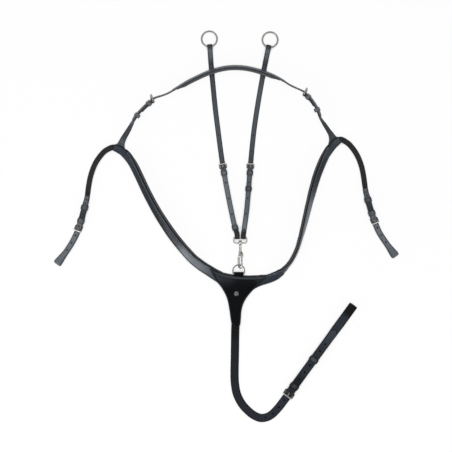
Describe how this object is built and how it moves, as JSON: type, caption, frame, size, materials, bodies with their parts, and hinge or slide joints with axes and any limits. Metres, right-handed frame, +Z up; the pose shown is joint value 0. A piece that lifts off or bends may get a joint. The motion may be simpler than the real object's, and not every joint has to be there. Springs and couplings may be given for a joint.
{
  "type": "hunting breastplate",
  "caption": "Horse breastplate with padded breast straps, wither strap, elastic saddle straps, girth strap and a running martingale on a snap hook.",
  "frame": {"origin": "on the table under the middle of the chest piece, at the flat back of its lining", "axes": "+X to the right as laid out, +Y from the girth loop towards the martingale rings, +Z up off the table"},
  "size_m": [0.8914, 1.0173, 0.0266],
  "materials": {
    "black_leather": "satin",
    "pad_leather": "matte",
    "strap_leather": "satin",
    "elastic_webbing": "woven",
    "polished_steel": "polished"
  },
  "bodies": {
    "straps": {"chest_backing": "pad_leather", "chest_filler": "pad_leather", "chest_front": "black_leather", "chest_stud": "polished_steel", "breast_strap_left": "black_leather", "breast_strap_right": "black_leather", "breast_pad_left": "pad_leather", "breast_pad_right": "pad_leather", "shoulder_strap_left": "strap_leather", "shoulder_strap_right": "strap_leather", "wither_strap": "strap_leather", "wither_pad": "pad_leather", "wither_left_buckle": "polished_steel", "wither_right_buckle": "polished_steel", "wither_fixed_keeper_left": "strap_leather", "wither_fixed_keeper_right": "strap_leather", "elastic_left": "elastic_webbing", "elastic_right": "elastic_webbing", "saddle_strap_left": "strap_leather", "saddle_strap_right": "strap_leather", "saddle_chape_left": "strap_leather", "saddle_chape_right": "strap_leather", "saddle_left_buckle": "polished_steel", "saddle_right_buckle": "polished_steel", "saddle_fixed_keeper_left": "strap_leather", "saddle_fixed_keeper_right": "strap_leather", "martingale_billet_left": "strap_leather", "martingale_billet_right": "strap_leather", "martingale_chape_left": "strap_leather", "martingale_chape_right": "strap_leather", "martingale_left_buckle": "polished_steel", "martingale_right_buckle": "polished_steel", "martingale_fixed_keeper_left": "strap_leather", "martingale_fixed_keeper_right": "strap_leather", "snap_eye": "polished_steel", "d_ring_chape": "black_leather", "girth_strap": "black_leather", "girth_loop": "black_leather", "girth_buckle": "polished_steel", "girth_fixed_keeper": "strap_leather"},
    "wither_left_prong": {"wither_left_prong": "polished_steel"},
    "wither_right_prong": {"wither_right_prong": "polished_steel"},
    "saddle_left_prong": {"saddle_left_prong": "polished_steel"},
    "saddle_right_prong": {"saddle_right_prong": "polished_steel"},
    "martingale_left_prong": {"martingale_left_prong": "polished_steel"},
    "martingale_right_prong": {"martingale_right_prong": "polished_steel"},
    "girth_prong": {"girth_prong": "polished_steel"},
    "wither_keeper_left": {"wither_sliding_keeper_left": "strap_leather"},
    "wither_keeper_right": {"wither_sliding_keeper_right": "strap_leather"},
    "saddle_keeper_left": {"saddle_sliding_keeper_left": "strap_leather"},
    "saddle_keeper_right": {"saddle_sliding_keeper_right": "strap_leather"},
    "martingale_keeper_left": {"martingale_sliding_keeper_left": "strap_leather"},
    "martingale_keeper_right": {"martingale_sliding_keeper_right": "strap_leather"},
    "girth_keeper": {"girth_sliding_keeper": "strap_leather"},
    "martingale_ring_left": {"martingale_ring_left": "polished_steel"},
    "martingale_ring_right": {"martingale_ring_right": "polished_steel"},
    "d_ring": {"d_ring": "polished_steel"},
    "snap_hook": {"snap_body": "polished_steel", "snap_gate_pin": "polished_steel"},
    "snap_gate": {"snap_gate": "polished_steel"}
  },
  "joints": [
    {"name": "martingale_left_prong_lift", "type": "hinge", "parent": "straps", "child": "martingale_left_prong", "pos_m": [-0.03421, 0.32582, 0.00465], "axis": [0.9867, 0.1628, 0], "range_deg": [0, 17]},
    {"name": "martingale_right_prong_lift", "type": "hinge", "parent": "straps", "child": "martingale_right_prong", "pos_m": [0.03589, 0.32583, 0.00465], "axis": [0.9964, -0.0842, 0], "range_deg": [0, 17]},
    {"name": "wither_left_prong_lift", "type": "hinge", "parent": "straps", "child": "wither_left_prong", "pos_m": [-0.2168, 0.4995, 0.01239], "axis": [0.1047, -0.1796, 0.9781], "range_deg": [0, 24]},
    {"name": "wither_right_prong_lift", "type": "hinge", "parent": "straps", "child": "wither_right_prong", "pos_m": [0.17615, 0.51696, 0.01236], "axis": [0.1153, 0.1552, -0.9811], "range_deg": [0, 24]},
    {"name": "saddle_left_prong_lift", "type": "hinge", "parent": "straps", "child": "saddle_left_prong", "pos_m": [-0.40732, 0.17609, 0.0097], "axis": [-0.9478, 0.3068, -0.0872], "range_deg": [0, 5]},
    {"name": "saddle_right_prong_lift", "type": "hinge", "parent": "straps", "child": "saddle_right_prong", "pos_m": [0.35558, 0.19601, 0.0097], "axis": [-0.938, -0.3354, 0.0872], "range_deg": [0, 5]},
    {"name": "girth_prong_lift", "type": "hinge", "parent": "straps", "child": "girth_prong", "pos_m": [0.1401, -0.25493, 0.00505], "axis": [-0.8131, 0.5821, 0], "range_deg": [0, 11]},
    {"name": "martingale_ring_left_swing", "type": "hinge", "parent": "straps", "child": "martingale_ring_left", "pos_m": [-0.069, 0.6418, 0.00594], "axis": [0.9978, 0.0661, 0], "range_deg": [0, 165]},
    {"name": "martingale_ring_right_swing", "type": "hinge", "parent": "straps", "child": "martingale_ring_right", "pos_m": [0.0835, 0.64, 0.00594], "axis": [0.9796, -0.2009, 0], "range_deg": [0, 165]},
    {"name": "d_ring_tip", "type": "hinge", "parent": "straps", "child": "d_ring", "pos_m": [0.006, 0.0527, 0.0049], "axis": [1, 0, 0], "range_deg": [-2, 4]},
    {"name": "snap_swivel", "type": "hinge", "parent": "straps", "child": "snap_hook", "pos_m": [0.01, 0.13159, 0.0094], "axis": [0, -1, 0], "range_deg": [-8, 60]},
    {"name": "snap_gate_press", "type": "hinge", "parent": "snap_hook", "child": "snap_gate", "pos_m": [0.01344, 0.10159, 0.01491], "axis": [0.848, 0, -0.5299], "range_deg": [0, 25], "stiffness_Nm_per_rad": 0.02, "springref_deg": -20.05},
    {"name": "wither_keeper_left_slide", "type": "slide", "parent": "straps", "child": "wither_keeper_left", "axis": [0.618, 0.7862, -0.0001], "range_m": [-0.012, 0.008]},
    {"name": "wither_keeper_right_slide", "type": "slide", "parent": "straps", "child": "wither_keeper_right", "axis": [0.414, -0.9103, 0], "range_m": [-0.004, 0.02]},
    {"name": "saddle_keeper_left_slide", "type": "slide", "parent": "straps", "child": "saddle_keeper_left", "axis": [-0.2702, -0.9628, -0.0063], "range_m": [-0.014, 0.018]},
    {"name": "saddle_keeper_right_slide", "type": "slide", "parent": "straps", "child": "saddle_keeper_right", "axis": [0.2741, -0.9617, -0.0071], "range_m": [-0.012, 0.018]},
    {"name": "martingale_keeper_left_slide", "type": "slide", "parent": "straps", "child": "martingale_keeper_left", "axis": [0.2961, -0.9503, 0.0957], "range_m": [-0.003, 0.009]},
    {"name": "martingale_keeper_right_slide", "type": "slide", "parent": "straps", "child": "martingale_keeper_right", "axis": [-0.0772, -0.997, 0], "range_m": [-0.028, 0.03]},
    {"name": "girth_keeper_slide", "type": "slide", "parent": "straps", "child": "girth_keeper", "axis": [0.5922, 0.8058, 0], "range_m": [-0.03, 0.03]}
  ]
}
